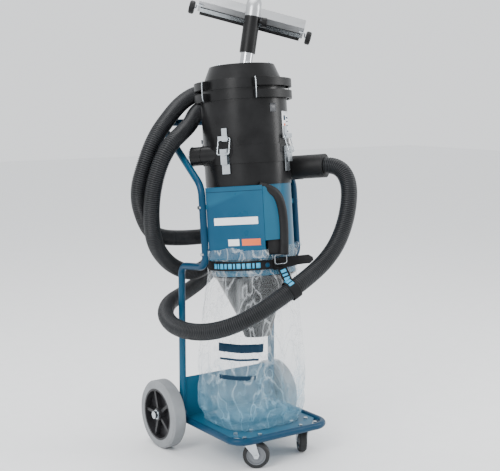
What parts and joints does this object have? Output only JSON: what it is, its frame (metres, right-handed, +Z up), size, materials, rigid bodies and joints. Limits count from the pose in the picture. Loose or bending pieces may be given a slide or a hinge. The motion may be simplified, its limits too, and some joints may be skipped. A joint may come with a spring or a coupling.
{
  "type": "dust collector",
  "caption": "Mobile industrial dust collector: leaning cyclone and filter tower on a two-wheeled trolley, with dust bag, coiled suction hose and parked floor nozzle.",
  "frame": {"origin": "on the floor, under the middle of the box that holds everything but the hose", "axes": "+Z up, -Y to the castors (front), +X to the side of the hose inlet"},
  "size_m": [0.6306, 0.6315, 1.3411],
  "materials": {
    "frame_blue": "satin",
    "casing_blue": "gloss",
    "head_black": "satin",
    "hose_black": "satin",
    "grip_black": "matt",
    "tyre_grey": "matt",
    "hub_grey": "satin",
    "zinc": "satin",
    "chrome_pipe": "polished",
    "aluminium": "satin",
    "bag_film": "gloss",
    "webbing": "matt",
    "rubber_black": "matt",
    "castor_tread": "satin",
    "castor_hub": "satin",
    "filter_paper": "matt",
    "motor_steel": "satin"
  },
  "bodies": {
    "trolley": {"frame_tube_left": "frame_blue", "frame_tube_right": "frame_blue", "handle_bar": "frame_blue", "base_loop": "frame_blue", "base_plate": "frame_blue", "rear_plate": "frame_blue", "cap_screws": "zinc", "axle": "zinc", "axle_nuts": "zinc", "castor_plates": "zinc", "cyclone_body": "casing_blue", "discharge_cone": "head_black", "discharge_valve": "rubber_black", "filter_housing": "head_black", "lid": "head_black", "filter_cartridge": "filter_paper", "motor": "motor_steel", "inlet_section": "head_black", "port_section": "head_black", "head_grips": "grip_black", "power_inlet": "grip_black", "latch_mounts": "zinc", "front_panel": "casing_blue", "cyclone_saddles": "frame_blue", "bag": "bag_film", "bag_belt": "webbing", "belt_buckle": "grip_black", "hose_strap": "webbing", "suction_hose": "hose_black", "inlet_cuff": "rubber_black", "pipe_cuff": "rubber_black", "suction_pipe": "chrome_pipe", "pipe_holder": "grip_black", "pipe_coupling": "grip_black"},
    "wheel_left": {"wheel_tyre_left": "tyre_grey", "wheel_hub_left": "hub_grey"},
    "wheel_right": {"wheel_tyre_right": "tyre_grey", "wheel_hub_right": "hub_grey"},
    "castor_left": {"castor_fork_left": "zinc"},
    "castor_right": {"castor_fork_right": "zinc"},
    "castor_wheel_left": {"castor_tread_left": "castor_tread", "castor_hub_left": "castor_hub"},
    "castor_wheel_right": {"castor_tread_right": "castor_tread", "castor_hub_right": "castor_hub"},
    "rotor": {"fan_rotor": "aluminium"},
    "nozzle": {"nozzle_elbow": "grip_black", "nozzle_head": "aluminium", "nozzle_lips": "rubber_black", "nozzle_steelwork": "zinc"},
    "nozzle_knob": {"nozzle_knob": "grip_black"},
    "nozzle_wheel_left": {"nozzle_wheel_left": "rubber_black"},
    "nozzle_wheel_right": {"nozzle_wheel_right": "rubber_black"},
    "latch_lever_1": {"latch_lever_1": "zinc"},
    "latch_bail_1": {"latch_bail_1": "zinc"},
    "latch_lever_2": {"latch_lever_2": "zinc"},
    "latch_bail_2": {"latch_bail_2": "zinc"},
    "latch_lever_3": {"latch_lever_3": "zinc"},
    "latch_bail_3": {"latch_bail_3": "zinc"},
    "latch_lever_4": {"latch_lever_4": "zinc"},
    "latch_bail_4": {"latch_bail_4": "zinc"}
  },
  "joints": [
    {"name": "wheel_left_spin", "type": "hinge", "parent": "trolley", "child": "wheel_left", "pos_m": [-0.24862, 0.06181, 0.1], "axis": [1, 0, 0], "continuous": true},
    {"name": "wheel_right_spin", "type": "hinge", "parent": "trolley", "child": "wheel_right", "pos_m": [0.14938, 0.06181, 0.1], "axis": [1, 0, 0], "continuous": true},
    {"name": "castor_left_swivel", "type": "hinge", "parent": "trolley", "child": "castor_left", "pos_m": [-0.14662, -0.22619, 0.08], "axis": [0, 0, 1], "continuous": true},
    {"name": "castor_left_spin", "type": "hinge", "parent": "castor_left", "child": "castor_wheel_left", "pos_m": [-0.12771, -0.24097, 0.0375], "axis": [-0.6157, -0.788, 0], "continuous": true},
    {"name": "castor_right_swivel", "type": "hinge", "parent": "trolley", "child": "castor_right", "pos_m": [0.04738, -0.22619, 0.08], "axis": [0, 0, 1], "continuous": true},
    {"name": "castor_right_spin", "type": "hinge", "parent": "castor_right", "child": "castor_wheel_right", "pos_m": [0.05865, -0.205, 0.0375], "axis": [0.8829, -0.4695, 0], "continuous": true},
    {"name": "rotor_spin", "type": "hinge", "parent": "trolley", "child": "rotor", "pos_m": [-0.04962, -0.06615, 1.00453], "axis": [0, 0.1045, 0.9945], "continuous": true},
    {"name": "latch_1_lever", "type": "hinge", "parent": "trolley", "child": "latch_lever_1", "pos_m": [-0.16617, -0.14179, 0.87775], "axis": [-0.4695, 0.8781, -0.0923], "range_deg": [0, 60]},
    {"name": "latch_1_bail", "type": "hinge", "parent": "latch_lever_1", "child": "latch_bail_1", "pos_m": [-0.17367, -0.1466, 0.87021], "axis": [-0.4695, 0.8781, -0.0923], "range_deg": [-60, 0]},
    {"name": "latch_2_lever", "type": "hinge", "parent": "trolley", "child": "latch_lever_2", "pos_m": [0.01235, -0.19607, 0.88345], "axis": [-0.8829, -0.4669, 0.0491], "range_deg": [0, 60]},
    {"name": "latch_2_bail", "type": "hinge", "parent": "latch_lever_2", "child": "latch_bail_2", "pos_m": [0.01634, -0.20437, 0.87628], "axis": [-0.8829, -0.4669, 0.0491], "range_deg": [-60, 0]},
    {"name": "latch_3_lever", "type": "hinge", "parent": "trolley", "child": "latch_lever_3", "pos_m": [0.06693, -0.01853, 0.86479], "axis": [0.4695, -0.8781, 0.0923], "range_deg": [0, 60]},
    {"name": "latch_3_bail", "type": "hinge", "parent": "latch_lever_3", "child": "latch_bail_3", "pos_m": [0.07443, -0.0154, 0.85642], "axis": [0.4695, -0.8781, 0.0923], "range_deg": [-60, 0]},
    {"name": "latch_4_lever", "type": "hinge", "parent": "trolley", "child": "latch_lever_4", "pos_m": [-0.11159, 0.03575, 0.85909], "axis": [0.8829, 0.4669, -0.0491], "range_deg": [0, 60]},
    {"name": "latch_4_bail", "type": "hinge", "parent": "latch_lever_4", "child": "latch_bail_4", "pos_m": [-0.11558, 0.04238, 0.85035], "axis": [0.8829, 0.4669, -0.0491], "range_deg": [-60, 0]},
    {"name": "nozzle_swivel", "type": "hinge", "parent": "trolley", "child": "nozzle", "pos_m": [0.09076, 0.09981, 1.23709], "axis": [0.1682, 0, 0.9857], "continuous": true},
    {"name": "nozzle_knob_turn", "type": "hinge", "parent": "nozzle", "child": "nozzle_knob", "pos_m": [0.11218, 0.08672, 1.24662], "axis": [0.8186, -0.5571, -0.1397], "continuous": true},
    {"name": "nozzle_wheel_left_spin", "type": "hinge", "parent": "nozzle", "child": "nozzle_wheel_left", "pos_m": [-0.037, 0.23109, 1.2932], "axis": [0.7933, -0.5532, -0.2541], "continuous": true},
    {"name": "nozzle_wheel_right_spin", "type": "hinge", "parent": "nozzle", "child": "nozzle_wheel_right", "pos_m": [0.25272, 0.02905, 1.20041], "axis": [0.7933, -0.5532, -0.2541], "continuous": true}
  ],
  "couplings": [
    {"joint": "latch_1_bail", "follows": "latch_1_lever", "ratio": -1},
    {"joint": "latch_2_bail", "follows": "latch_2_lever", "ratio": -1},
    {"joint": "latch_3_bail", "follows": "latch_3_lever", "ratio": -1},
    {"joint": "latch_4_bail", "follows": "latch_4_lever", "ratio": -1}
  ]
}
